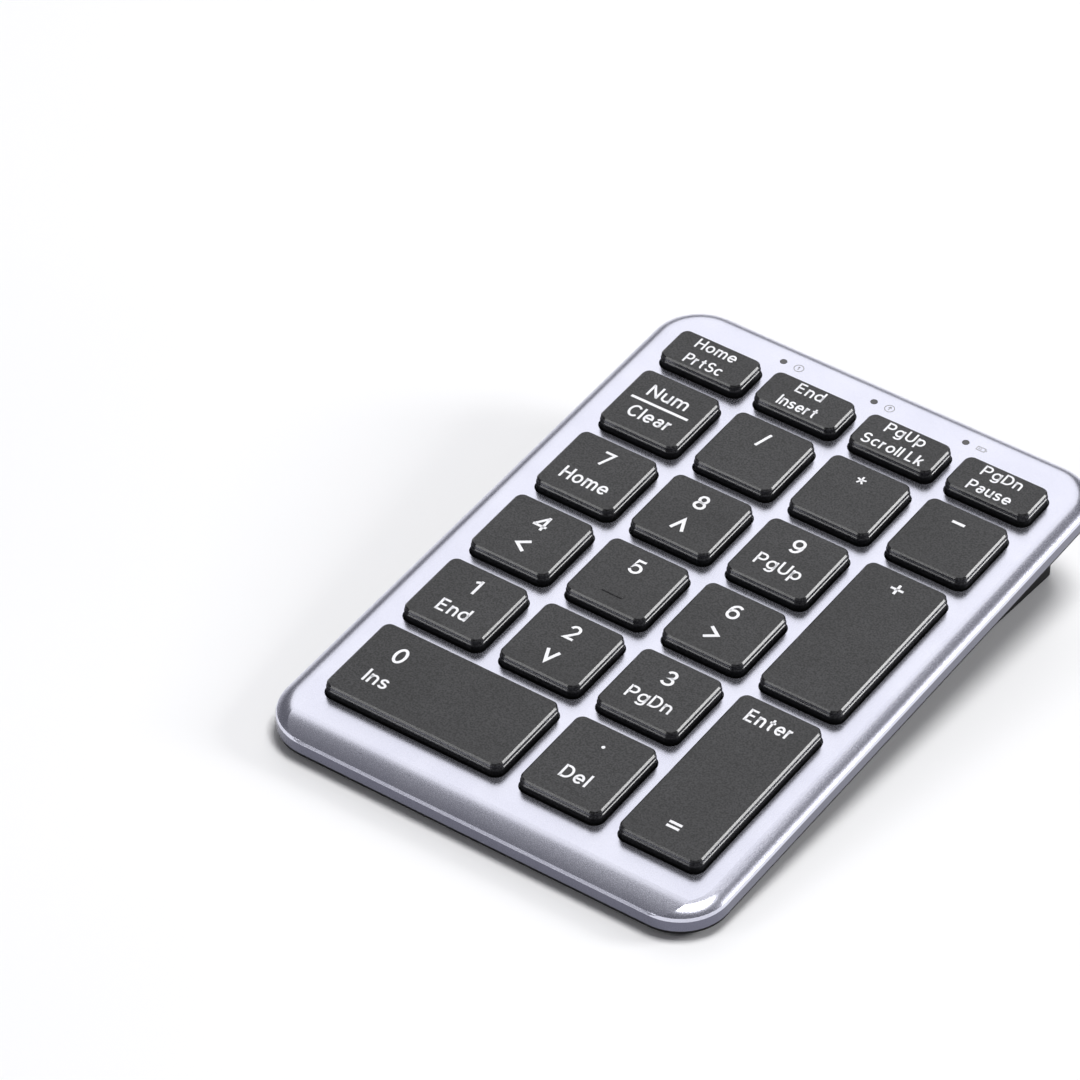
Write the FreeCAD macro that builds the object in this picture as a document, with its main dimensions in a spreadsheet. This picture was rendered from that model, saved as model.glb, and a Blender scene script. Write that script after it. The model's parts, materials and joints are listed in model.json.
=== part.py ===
import FreeCAD, Part
import math
import os
import re
import Sketcher

# Numeric keypad with scissor keys, a tilted housing and a battery box underneath.
# Every piece is drawn in the deck frame: X to the right, Y to the back, Z square to the deck, whose
# top surface is Z = 0. Y = 0 is the middle of the row that holds 4, 5 and 6, and X = 0 is midway
# between the second and third columns. The deck placement then tilts the pieces so that the feet
# stand on Z = 0 with the origin under the middle of the housing.

SIZES = {
    # key field
    "pitch": 19.0,
    "cap_width": 15.3,
    "cap_depth": 15.1,
    "function_width": 16.0,
    "function_depth": 8.3,
    "function_row": 53.6,
    "front_depth": 17.8,
    "window_gap": 0.45,
    "window_corner": 2.0,
    # keycap
    "cap_top": 2.4,
    "cap_height": 3.4,
    "cap_wall": 0.9,
    "cap_roof": 1.0,
    "cap_corner": 1.5,
    "cap_edge": 0.3,
    "cap_lip": 0.14,
    "lip_down": 0.9,
    "homing_length": 4.0,
    "homing_width": 0.5,
    "homing_rise": 0.15,
    "homing_at": 4.45,
    "clip_width": 3.0,
    "clip_thick": 0.4,
    "clip_drop": 0.9,
    # housing
    "case_width": 85.4,
    "case_depth": 125.8,
    "case_middle": 4.4,
    "case_corner": 9.0,
    "deck_thick": 1.2,
    "case_wall": 1.5,
    "wall_bottom": 3.7,
    "roll_drop": 1.3,
    "roll_side": 3.0,
    "roll_front": 5.0,
    "trim_margin": 10.0,
    "ceiling_fillet": 0.9,
    "bright_edge": 0.3,
    "cover_inset": 0.2,
    "cover_top": 3.8,
    "floor_top": 4.3,
    "floor_bottom": 5.3,
    "cover_bevel": 0.9,
    "rim_gap": 0.15,
    "rim_thick": 0.8,
    "rim_top": 2.2,
    # key plate and contact sheets
    "plate_width": 72.6,
    "plate_depth": 108.6,
    "plate_middle": 4.6,
    "plate_top": 3.2,
    "plate_thick": 0.5,
    "sheet_thick": 0.1,
    "sheet_hole": 1.7,
    "contact_hole": 2.0,
    "tab_height": 1.3,
    "slot_gap": 0.3,
    # scissors and domes
    "link_thick": 0.7,
    "link_bar": 1.0,
    "link_width": 9.6,
    "inner_width": 7.2,
    "link_length": 9.4,
    "link_angle": 21.5,
    "short_length": 5.6,
    "short_angle": 35.0,
    "short_bar": 0.6,
    "link_middle": 0.75,
    "pin_radius": 0.2,
    "pin_clearance": 0.06,
    "dome_base": 2.5,
    "dome_crown": 1.5,
    "short_dome_base": 1.45,
    "short_dome_crown": 1.0,
    "dome_solid": 1.0,
    "dome_skin": 0.45,
    "dome_gap": 0.05,
    # stabilizer wires
    "wire_radius": 0.4,
    "wire_clearance": 0.06,
    "wire_height": 0.55,
    "wire_back": 5.2,
    "wire_half": 13.0,
    "arm_length": 8.5,
    "arm_end": 2.25,
    "arm_foot": 2.0,
    "wire_clip": 9.0,
    "holder_width": 1.2,
    "holder_depth": 3.2,
    "holder_height": 2.2,
    "holder_side": 1.1,
    "holder_front": 0.3,
    "holder_slot": 1.8,
    "holder_gap": 0.15,
    # screws and their posts
    "screw_radius": 0.65,
    "hole_gap": 0.2,
    "screw_length": 2.4,
    "head_radius": 1.35,
    "head_thick": 0.45,
    "post_hole": 0.7,
    "case_post": 1.3,
    "post_gap": 0.25,
    "plate_post": 1.2,
    "head_recess": 1.6,
    "seat_rim": 0.6,
    "seat_thick": 0.8,
    "post_front": -44.0,
    "post_middle": -9.5,
    "post_back": 26.0,
    "nose_post_across": 20.0,
    "nose_post_back": 2.6,
    "cross_length": 1.5,
    "cross_width": 0.35,
    "cross_deep": 0.25,
    # indicators, board and switch
    "lamp_pitch": 18.25,
    "lamp_row": 62.2,
    "lamp_radius": 0.6,
    "lamp_gap": 0.05,
    "lamp_shift": -1.0,
    "stem_top": 0.02,
    "stem_length": 2.3,
    "collar_reach": 0.4,
    "collar_thick": 0.5,
    "board_width": 66.0,
    "board_depth": 5.2,
    "board_top": 3.3,
    "board_thick": 0.8,
    "board_middle": 62.0,
    "tail_width": 10.0,
    "tail_at": -27.0,
    "tail_length": 5.6,
    "tail_reach": 2.7,
    "clamp_depth": 1.6,
    "clamp_height": 1.2,
    "clamp_shift": 1.0,
    "throat_height": 0.4,
    "switch_at": 24.0,
    "slot_length": 6.4,
    "slot_height": 1.3,
    "slot_up": 0.3,
    "knob_length": 3.2,
    "knob_shift": -1.1,
    "knob_gap": 0.3,
    "carrier_thick": 0.9,
    "carrier_reach": 1.2,
    "ridge_size": 0.3,
    "ridge_pitch": 0.8,
    "ridge_end": 0.1,
    "knob_inset": 0.35,
    "notch_gap": 0.2,
    "notch_height": 3.0,
    "notch_up": 1.55,
    "knob_reach": 0.5,
    "carrier_inset": 0.85,
    # tilt, feet and battery box
    "tilt": 7.0,
    "stand_depth": -50.0,
    "stand_drop": 6.6,
    "foot_thick": 0.9,
    "foot_across": 30.0,
    "foot_front": -51.0,
    "foot_back": -45.0,
    "foot_width": 12.0,
    "rear_foot_across": 32.6,
    "rear_foot_width": 4.4,
    "rear_foot_margin": 3.0,
    "box_front": 36.8,
    "box_back": 62.0,
    "box_half": 36.0,
    "box_round": 2.0,
    "bay_front": 38.4,
    "bay_back": 60.8,
    "bay_half": 26.6,
    "bay_top": 4.9,
    "cell_radius": 5.25,
    "cell_length": 44.5,
    "cell_front": 44.0,
    "cell_back": 55.1,
    "cell_top": 5.05,
    "button_radius": 1.9,
    "button_length": 1.2,
    "contact_thick": 0.4,
    "contact_side": 7.6,
    "contact_wall": 0.25,
    "contact_face": 0.45,
    "cell_gap": 0.05,
    "boss_radius": 2.4,
    "coil_radius": 3.2,
    "coil_wire": 0.28,
    "coil_gap": 0.3,
    "door_half": 28.5,
    "door_thick": 1.0,
    "door_gap": 0.2,
    "tongue_thick": 0.45,
    "tongue_reach": 0.9,
    "grip_width": 16.0,
    "grip_start": 6.0,
    "grip_pitch": 1.2,
    "grip_groove": 0.6,
    "grip_deep": 0.3,
}

doc = FreeCAD.newDocument("numeric_keypad")
sheet = doc.addObject("Spreadsheet::Sheet", "dims")
for row, (alias, size) in enumerate(SIZES.items(), 1):
    sheet.set(f"A{row}", alias)
    sheet.set(f"B{row}", str(size))
    sheet.setAlias(f"B{row}", alias)
doc.recompute()

# The columns run from the left and each key is (name, column, row, size kind).
COLUMNS = ["-1.5 * pitch", "-0.5 * pitch", "0.5 * pitch", "1.5 * pitch"]
ROWS = {
    "function": "function_row",
    "top": "2 * pitch",
    "upper": "pitch",
    "middle": "0",
    "lower": "-pitch",
    "front": "cap_depth / 2 - 2 * pitch - front_depth / 2",
}
KINDS = {
    "square": ("cap_width", "cap_depth"),
    "function": ("function_width", "function_depth"),
    "front": ("cap_width", "front_depth"),
    "wide": ("cap_width + pitch", "front_depth"),
    "plus": ("cap_width", "cap_depth + pitch"),
    "enter": ("cap_width", "front_depth + pitch"),
}
GRID = [
    ("function", ["home", "end", "page_up", "page_down"]),
    ("top", ["num", "divide", "multiply", "minus"]),
    ("upper", ["seven", "eight", "nine"]),
    ("middle", ["four", "five", "six"]),
    ("lower", ["one", "two", "three"]),
]


def formula(text):
    """An expression for the document: every alias gets the sheet's name in front."""
    return re.sub(r"[a-z_]+", lambda word: "dims." + word[0] if word[0] in SIZES else word[0], str(text))


def number(text):
    """The present value of an expression, in millimetres or degrees."""
    found = sheet.evalExpression(formula(text))
    return float(getattr(found, "Value", found))


def bind(item, sizes):
    """Bind properties of an object to expressions."""
    for name, text in sizes.items():
        item.setExpression(name, formula(text))
    return item


def key_list():
    """Every key as (name, x, y, kind), the last two numbers being expressions."""
    keys = []
    for row, names in GRID:
        for column, name in enumerate(names):
            kind = "function" if row == "function" else "square"
            keys.append((name, COLUMNS[column], ROWS[row], kind))
    keys.append(("plus", COLUMNS[3], "pitch / 2", "plus"))
    keys.append(("enter", COLUMNS[3], "cap_depth / 2 - 1.5 * pitch - front_depth / 2", "enter"))
    keys.append(("zero", "-pitch", ROWS["front"], "wide"))
    keys.append(("decimal", COLUMNS[2], ROWS["front"], "front"))
    return keys


KEYS = key_list()
LONG_KEYS = {"wide": 0, "plus": 90, "enter": 90}


def shifted(text, by):
    return f"({text}) + ({by})"


def table_height(along, height):
    """Deck-frame Z of a point at a height above the table, at a given Y."""
    return f"0 - stand_drop - (({along}) - stand_depth) * tan(tilt) + ({height}) / cos(tilt)"


def deck_placement():
    """Tilts the deck and centres the housing over the origin."""
    lean = math.radians(SIZES["tilt"])
    across = math.cos(lean)
    rise = math.sin(lean)
    front = SIZES["case_middle"] - SIZES["case_depth"] / 2
    back = SIZES["case_middle"] + SIZES["case_depth"] / 2
    nearest = front * across + (SIZES["roll_drop"] + SIZES["bright_edge"]) * rise
    farthest = back * across + SIZES["wall_bottom"] * rise
    lift = SIZES["stand_drop"] * across - SIZES["stand_depth"] * rise
    base = FreeCAD.Vector(0, -(nearest + farthest) / 2, lift)
    return FreeCAD.Placement(base, FreeCAD.Rotation(FreeCAD.Vector(1, 0, 0), SIZES["tilt"]))


DECK = deck_placement()
NODES = []


def finish(item, name, spot=None):
    """Name a finished sub-part and tilt it with the deck."""
    item.Label = name
    item.Placement = DECK if spot is None else DECK.multiply(spot)
    NODES.append(item)
    return item


def standing_at(x, y, angle=0):
    """A placement on the deck at two expressions, turned about the upright."""
    turn = FreeCAD.Rotation(FreeCAD.Vector(0, 0, 1), angle)
    return FreeCAD.Placement(FreeCAD.Vector(number(x), number(y), 0), turn)


# ---------------------------------------------------------------- Part helpers


def place(item, x, y, z):
    return bind(item, {"Placement.Base.x": x, "Placement.Base.y": y, "Placement.Base.z": z})


def block(name, sizes, centre, low):
    """A box with its middle at centre in plan and its underside at low."""
    box = doc.addObject("Part::Box", name)
    bind(box, {"Length": sizes[0], "Width": sizes[1], "Height": sizes[2]})
    return place(box, f"({centre[0]}) - ({sizes[0]}) / 2", f"({centre[1]}) - ({sizes[1]}) / 2", low)


def peg(name, radius, height, centre, low):
    """An upright cylinder."""
    rod = doc.addObject("Part::Cylinder", name)
    bind(rod, {"Radius": radius, "Height": height})
    return place(rod, centre[0], centre[1], low)


def rod_along_x(name, radius, length, centre):
    """A cylinder along X with its middle at centre."""
    rod = doc.addObject("Part::Cylinder", name)
    rod.Placement.Rotation = FreeCAD.Rotation(FreeCAD.Vector(0, 1, 0), 90)
    bind(rod, {"Radius": radius, "Height": length})
    return place(rod, f"({centre[0]}) - ({length}) / 2", centre[1], centre[2])


def fuse(name, items):
    joined = doc.addObject("Part::MultiFuse", name)
    joined.Shapes = items
    return joined


def group(name, items):
    together = doc.addObject("Part::Compound", name)
    together.Links = items
    return together


def cut(name, base, tool):
    left = doc.addObject("Part::Cut", name)
    left.Base = base
    left.Tool = tool
    return left


# ---------------------------------------------------------- PartDesign helpers


def sketch_on(body, name, plane, offset="0"):
    """An empty sketch on one of the body's own origin planes, moved along its normal."""
    sketch = body.newObject("Sketcher::SketchObject", name)
    origin = [item for item in body.Origin.OriginFeatures if item.Role == plane]
    sketch.AttachmentSupport = [(origin[0], "")]
    sketch.MapMode = "FlatFace"
    bind(sketch, {"AttachmentOffset.Base.z": offset})
    return sketch


def constrain(sketch, plain, driven):
    """Add constraints in one go: plain ones, then ones whose last value is an expression."""
    made = [Sketcher.Constraint(*terms) for terms in plain]
    made += [Sketcher.Constraint(*terms[:-1], number(terms[-1])) for terms in driven]
    first = sketch.ConstraintCount + len(plain)
    sketch.addConstraint(made)
    for index, terms in enumerate(driven, first):
        sketch.setExpression(f"Constraints[{index}]", formula(terms[-1]))


def held_at(part, point, across, up):
    """Two driven constraints that hold a sketch point at two expressions."""
    return [("DistanceX", -1, 1, part, point, across), ("DistanceY", -1, 1, part, point, up)]


def polygon(sketch, points):
    """A closed outline of straight lines through points given as expressions."""
    spots = [FreeCAD.Vector(number(across), number(up), 0) for across, up in points]
    first = sketch.GeometryCount
    count = len(points)
    lines = [Part.LineSegment(spots[index], spots[(index + 1) % count]) for index in range(count)]
    sketch.addGeometry(lines, False)
    joins = [("Coincident", first + index, 2, first + (index + 1) % count, 1) for index in range(count)]
    driven = []
    for index, (across, up) in enumerate(points):
        driven += held_at(first + index, 1, across, up)
    constrain(sketch, joins, driven)


def rectangle(sketch, width, depth, middle=("0", "0")):
    """A rectangle about a middle point."""
    corners = [(-1, -1), (1, -1), (1, 1), (-1, 1)]
    across = [f"({middle[0]}) + ({sign}) * ({width}) / 2" for sign, _ in corners]
    up = [f"({middle[1]}) + ({sign}) * ({depth}) / 2" for _, sign in corners]
    polygon(sketch, list(zip(across, up)))


def rounded_rectangle(sketch, width, depth, radius, middle=("0", "0")):
    """A rectangle with four arcs for corners, each arc joined to its lines without a kink."""
    reach = number(radius)
    half_width = number(width) / 2 - reach
    half_depth = number(depth) / 2 - reach
    middle_x = number(middle[0])
    middle_y = number(middle[1])
    first = sketch.GeometryCount
    corners = [(1, 1), (-1, 1), (-1, -1), (1, -1)]
    arcs = []
    for turn, (side, end) in enumerate(corners):
        centre = FreeCAD.Vector(middle_x + side * half_width, middle_y + end * half_depth, 0)
        circle = Part.Circle(centre, FreeCAD.Vector(0, 0, 1), reach)
        start = turn * math.pi / 2
        arcs.append(Part.ArcOfCircle(circle, start, start + math.pi / 2))
    lines = [Part.LineSegment(arcs[turn].EndPoint, arcs[(turn + 1) % 4].StartPoint) for turn in range(4)]
    sketch.addGeometry(arcs + lines, False)
    joins = []
    driven = []
    for turn, (side, end) in enumerate(corners):
        line = first + 4 + turn
        joins.append(("Tangent", first + turn, 2, line, 1))
        joins.append(("Tangent", line, 2, first + (turn + 1) % 4, 1))
        across = f"({middle[0]}) + ({side}) * (({width}) / 2 - ({radius}))"
        up = f"({middle[1]}) + ({end}) * (({depth}) / 2 - ({radius}))"
        driven += held_at(first + turn, 3, across, up)
        driven.append(("Radius", first + turn, radius))
    constrain(sketch, joins, driven)


def circles(sketch, radius, spots):
    """A circle at each spot."""
    for across, up in spots:
        centre = FreeCAD.Vector(number(across), number(up), 0)
        ring = sketch.addGeometry(Part.Circle(centre, FreeCAD.Vector(0, 0, 1), number(radius)), False)
        constrain(sketch, [], held_at(ring, 3, across, up) + [("Radius", ring, radius)])


def pad(body, sketch, length, reverse=False, middle=False):
    feature = body.newObject("PartDesign::Pad", sketch.Name + "_pad")
    feature.Profile = sketch
    feature.Reversed = reverse
    feature.Midplane = middle
    bind(feature, {"Length": length})
    doc.recompute()
    return feature


def pocket(body, sketch, length, reverse=False, middle=False):
    """Cut the sketch out of the body, and check that something came away."""
    before = body.Shape.Volume
    feature = body.newObject("PartDesign::Pocket", sketch.Name + "_pocket")
    feature.Profile = sketch
    feature.Reversed = reverse
    feature.Midplane = middle
    bind(feature, {"Length": length})
    doc.recompute()
    if not feature.Shape.Volume < before - 0.001:
        raise RuntimeError(f"{feature.Name} cuts nothing")
    return feature


def edges_where(shape, test):
    return [f"Edge{index}" for index, edge in enumerate(shape.Edges, 1) if test(edge)]


def dress(body, kind, feature, edges, size):
    """A fillet or chamfer on named edges of the last feature."""
    made = body.newObject("PartDesign::" + kind, f"{feature.Name}_{kind.lower()}")
    made.Base = (feature, edges)
    bind(made, {"Radius" if kind == "Fillet" else "Size": size})
    doc.recompute()
    return made


def lies_at(height):
    """A test for edges that lie level at a height."""
    return lambda edge: edge.BoundBox.ZLength < 0.001 and abs(edge.BoundBox.ZMin - height) < 0.001


# --------------------------------------------------------------------- pieces


def half_link(kind):
    """Half the plan length of a tilted scissor link."""
    if kind == "function":
        return "short_length * cos(short_angle) / 2"
    return "link_length * cos(link_angle) / 2"


def make_keycap(name, x, y, kind):
    """A hollow cap: a skirt, a smaller top with a cut edge, and clip ribs for the scissor."""
    width, depth = KINDS[kind]
    body = doc.addObject("PartDesign::Body", "keycap_" + name)
    skirt = sketch_on(body, name + "_skirt", "XY_Plane", "cap_top - cap_height")
    rounded_rectangle(skirt, f"{width} + 2 * cap_lip", f"{depth} + 2 * cap_lip", "cap_corner + cap_lip")
    lower = pad(body, skirt, "cap_height - lip_down")
    ledge = SIZES["cap_top"] - SIZES["lip_down"]
    dress(body, "Chamfer", lower, edges_where(lower.Shape, lies_at(ledge)), "cap_lip * 0.8")
    outline = sketch_on(body, name + "_outline", "XY_Plane", "cap_top - lip_down")
    rounded_rectangle(outline, width, depth, "cap_corner")
    shell = pad(body, outline, "lip_down")
    dress(body, "Chamfer", shell, edges_where(shell.Shape, lies_at(SIZES["cap_top"])), "cap_edge")
    if name == "five":
        homing = sketch_on(body, "homing_bar", "XY_Plane", "cap_top - homing_rise")
        rectangle(homing, "homing_length", "homing_width", ("0", "0 - homing_at"))
        bar = pad(body, homing, "2 * homing_rise")
        raised = edges_where(bar.Shape, lies_at(SIZES["cap_top"] + SIZES["homing_rise"]))
        dress(body, "Fillet", bar, raised, "homing_rise * 0.9")
    hollow = sketch_on(body, name + "_hollow", "XY_Plane", "cap_top - cap_height")
    inner_width = f"{width} - 2 * cap_wall"
    inner_depth = f"{depth} - 2 * cap_wall"
    rounded_rectangle(hollow, inner_width, inner_depth, "cap_corner - cap_wall")
    pocket(body, hollow, "cap_height - cap_roof", reverse=True)
    ribs = sketch_on(body, name + "_ribs", "XY_Plane", "cap_top - cap_roof")
    for side in (1, -1):
        along = f"({side}) * ({half_link(kind)} + slot_gap + clip_thick / 2)"
        rectangle(ribs, "clip_width", "clip_thick", ("0", along))
    pad(body, ribs, "clip_drop", reverse=True)
    if kind in LONG_KEYS:
        add_wire_clips(body, name, LONG_KEYS[kind])
    return finish(body, "keycap_" + name, standing_at(x, y))


def turned(spot, angle):
    """A plan point turned about the key's middle by 0 or 90 degrees."""
    across, back = spot
    return (across, back) if angle == 0 else (f"0 - ({back})", across)


def add_wire_clips(body, name, angle):
    """Two blocks under a long cap, drilled along the stabilizer wire."""
    clips = sketch_on(body, name + "_wire_clips", "XY_Plane", "cap_top - cap_roof")
    size = ("clip_width / 2", "4 * wire_radius")
    if angle:
        size = (size[1], size[0])
    for side in (1, -1):
        rectangle(clips, size[0], size[1], turned((f"({side}) * wire_clip", "wire_back"), angle))
    pad(body, clips, "cap_top - cap_roof - wire_height + 2 * wire_radius", reverse=True)
    bore = sketch_on(body, name + "_wire_bore", "XZ_Plane" if angle else "YZ_Plane")
    spot = ("0 - wire_back" if angle else "wire_back", "wire_height")
    circles(bore, "wire_radius + wire_clearance", [spot])
    pocket(body, bore, "2 * wire_clip + clip_width", middle=True)


def wire_foot_back():
    """How far a wire's feet are behind the key's middle."""
    return "wire_back - sqrt(arm_length * arm_length - (wire_height + arm_end) * (wire_height + arm_end))"


def make_stabilizer(name, x, y, angle):
    """A bent wire: a straight stretch in the cap's clips, two arms, and two feet turned inwards."""
    middle = ("0", "wire_back", "wire_height")
    straight = rod_along_x(name + "_straight", "wire_radius", "2 * wire_half", middle)
    drop = SIZES["wire_height"] + SIZES["arm_end"]
    slope = math.degrees(math.asin(drop / SIZES["arm_length"]))
    pieces = [straight]
    toe_back = wire_foot_back()
    for side in (1, -1):
        knuckle = doc.addObject("Part::Sphere", f"{name}_knuckle_{side}")
        bind(knuckle, {"Radius": "wire_radius"})
        place(knuckle, f"({side}) * wire_half", "wire_back", "wire_height")
        arm = doc.addObject("Part::Cylinder", f"{name}_arm_{side}")
        bind(arm, {"Radius": "wire_radius", "Height": "arm_length"})
        arm.Placement.Rotation = FreeCAD.Rotation(FreeCAD.Vector(1, 0, 0), 90 + slope)
        place(arm, f"({side}) * wire_half", "wire_back", "wire_height")
        toe = doc.addObject("Part::Sphere", f"{name}_toe_{side}")
        bind(toe, {"Radius": "wire_radius"})
        place(toe, f"({side}) * wire_half", toe_back, "0 - arm_end")
        foot = rod_along_x(
            f"{name}_foot_{side}",
            "wire_radius",
            "arm_foot",
            (f"({side}) * (wire_half - arm_foot / 2)", toe_back, "0 - arm_end"),
        )
        pieces += [knuckle, arm, toe, foot]
    wire = fuse("stabilizer_" + name, pieces)
    return finish(wire, "stabilizer_" + name, standing_at(x, y, angle))


def make_link(name, width, length, end_bar, angle, direction):
    """One open scissor frame tipped about its middle: the outer is drilled, the inner has stub pins."""
    frame = block(name + "_frame", (width, length, "link_thick"), ("0", "0"), "0 - link_thick / 2")
    opening = block(
        name + "_opening",
        (f"{width} - 2 * link_bar", f"{length} - 2 * {end_bar}", "2 * link_thick"),
        ("0", "0"),
        "0 - link_thick",
    )
    link = cut(name + "_link", frame, opening)
    if direction > 0:
        bore_radius = "pin_radius + pin_clearance"
        bore = rod_along_x(name + "_bore", bore_radius, "link_width + link_bar", ("0", "0", "0"))
        link = cut(name + "_drilled", link, bore)
    else:
        pin = rod_along_x(name + "_pin", "pin_radius", "link_width - link_bar", ("0", "0", "0"))
        room = block(
            name + "_pin_room",
            (f"{width} - 2 * link_bar", "4 * pin_radius", "4 * pin_radius"),
            ("0", "0"),
            "0 - 2 * pin_radius",
        )
        link = fuse(name + "_pinned", [link, cut(name + "_stubs", pin, room)])
    link.Placement = FreeCAD.Placement(
        FreeCAD.Vector(0, 0, -SIZES["link_middle"]),
        FreeCAD.Rotation(FreeCAD.Vector(1, 0, 0), direction * number(angle)),
    )
    return link


def make_scissor(name, x, y, kind):
    """The inner and outer links, crossed in an X under the cap."""
    length = "short_length" if kind == "function" else "link_length"
    angle = "short_angle" if kind == "function" else "link_angle"
    end_bar = "short_bar" if kind == "function" else "link_bar"
    outer = make_link(name + "_outer", "link_width", length, end_bar, angle, 1)
    inner = make_link(name + "_inner", "inner_width", length, end_bar, angle, -1)
    pair = group("scissor_" + name, [outer, inner])
    return finish(pair, "scissor_" + name, standing_at(x, y))


def sheet_low(level):
    """Underside of a contact sheet: level 0 is the lowest."""
    return f"0 - plate_top + ({level}) * sheet_thick"


POST_COLUMNS = ["-pitch", "pitch"]
POST_ROWS = [
    "(2 * pitch + cap_depth / 2 + function_row - function_depth / 2) / 2",
    "1.5 * pitch",
    "-0.5 * pitch",
    "-1.5 * pitch",
]
PLATE_POSTS = [(across, along) for across in POST_COLUMNS for along in POST_ROWS]
CASE_EDGE = "case_width / 2 - case_wall - rim_gap - rim_thick - post_gap - case_post"
NOSE_ROW = "case_middle - case_depth / 2 + case_wall + nose_post_back + case_post"
SIDE_ROWS = ("post_front", "post_middle", "post_back")
CASE_POSTS = [(f"({side}) * ({CASE_EDGE})", along) for side in (1, -1) for along in SIDE_ROWS]
CASE_POSTS += [(f"({side}) * nose_post_across", NOSE_ROW) for side in (1, -1)]


def make_domes():
    """A hollow collapsing dome under every cap."""
    domes = []
    height = "cap_top - cap_roof + plate_top - 3 * sheet_thick - dome_gap"
    for name, x, y, kind in KEYS:
        size = "short_dome" if kind == "function" else "dome"
        outside = doc.addObject("Part::Cone", name + "_dome_outside")
        bind(outside, {"Radius1": f"{size}_base", "Radius2": f"{size}_crown", "Height": height})
        place(outside, x, y, sheet_low(3))
        inside = doc.addObject("Part::Cone", name + "_dome_inside")
        bind(inside, {"Radius1": f"{size}_base - dome_skin", "Radius2": f"{size}_crown - dome_skin"})
        bind(inside, {"Height": f"{height} - dome_solid"})
        place(inside, x, y, sheet_low(3))
        domes.append(cut(name + "_dome", outside, inside))
    finish(group("rubber_domes", domes), "rubber_domes")


def make_sheet_cutter():
    """Everything that passes through the contact sheets: screw posts, scissor tabs and wire holders."""
    height = "10 * sheet_thick"
    low = "0 - plate_top - 3 * sheet_thick"
    tools = [
        peg(f"sheet_hole_{index}", "sheet_hole", height, spot, low)
        for index, spot in enumerate(PLATE_POSTS)
    ]
    for index, (x, y, width, depth) in enumerate(tab_spots() + holder_spots()):
        size = (f"{width} + 2 * slot_gap", f"{depth} + 2 * slot_gap", height)
        tools.append(block(f"sheet_slot_{index}", size, (x, y), low))
    return fuse("sheet_cutter", tools)


def make_contact_sheets():
    """Two printed sheets with a spacer between them, all pierced alike."""
    cutter = make_sheet_cutter()
    for level, name in enumerate(("membrane_lower", "membrane_spacer", "membrane_upper")):
        low = sheet_low(level)
        size = ("plate_width", "plate_depth", "sheet_thick")
        film = block(name + "_film", size, ("0", "plate_middle"), low)
        if level == 0:
            tail_at = ("tail_at", "plate_middle + plate_depth / 2 + tail_reach")
            tail = block(name + "_tail", ("tail_width", "tail_length", "sheet_thick"), tail_at, low)
            film = fuse(name + "_with_tail", [film, tail])
        if level == 1:
            contacts = [
                peg(f"contact_hole_{key}", "contact_hole", "10 * sheet_thick", (x, y), low)
                for key, x, y, _ in KEYS
            ]
            film = cut(name + "_spaced", film, fuse("contact_holes", contacts))
        finish(cut(name, film, cutter), name)


def tab_spots():
    """Plan place and size of every upstanding tab: two per scissor."""
    spots = []
    for _, x, y, kind in KEYS:
        for side in (1, -1):
            along = f"({y}) + ({side}) * ({half_link(kind)} + slot_gap + clip_thick / 2)"
            spots.append((x, along, "clip_width", "clip_thick"))
    return spots


def make_key_plate():
    """Steel sheet with the scissor tabs and the slotted blocks that hold the wires' feet."""
    plate = block(
        "plate_sheet",
        ("plate_width", "plate_depth", "plate_thick"),
        ("0", "plate_middle"),
        "0 - plate_top - plate_thick",
    )
    pieces = [plate]
    for index, (x, y, width, depth) in enumerate(tab_spots()):
        pieces.append(block(f"plate_tab_{index}", (width, depth, "tab_height"), (x, y), "0 - plate_top"))
    formed = fuse("plate_formed", pieces + wire_holders())
    low = "0 - plate_top - 2 * plate_thick"
    holes = [
        peg(f"plate_hole_{index}", "screw_radius + hole_gap", "3 * plate_thick", spot, low)
        for index, spot in enumerate(PLATE_POSTS)
    ]
    finish(cut("key_plate", formed, fuse("plate_holes", holes)), "key_plate")


def holder_spots():
    """Plan place and size of the slotted blocks that hold the wires' feet."""
    spots = []
    for _, x, y, kind in KEYS:
        if kind not in LONG_KEYS:
            continue
        angle = LONG_KEYS[kind]
        for side in (1, -1):
            outer = f"({side}) * (wire_half - wire_radius - holder_side)"
            across, back = turned((outer, f"{wire_foot_back()} - holder_front"), angle)
            size = ("holder_width", "holder_depth") if angle == 0 else ("holder_depth", "holder_width")
            spots.append((shifted(x, across), shifted(y, back), *size))
    return spots


def wire_holders():
    """Blocks on the plate, each slotted for a wire foot."""
    holders = []
    for index, (x, y, width, depth) in enumerate(holder_spots()):
        stand = block(f"holder_{index}", (width, depth, "holder_height"), (x, y), "0 - plate_top")
        slot_size = ("2 * holder_width", "holder_slot")
        if number(width) > number(depth):
            slot_size = slot_size[::-1]
        low = "0 - arm_end - wire_radius - holder_gap"
        slot = block(f"holder_slot_{index}", (*slot_size, "2 * (wire_radius + holder_gap)"), (x, y), low)
        holders.append(cut(f"holder_slotted_{index}", stand, slot))
    return holders


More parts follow.
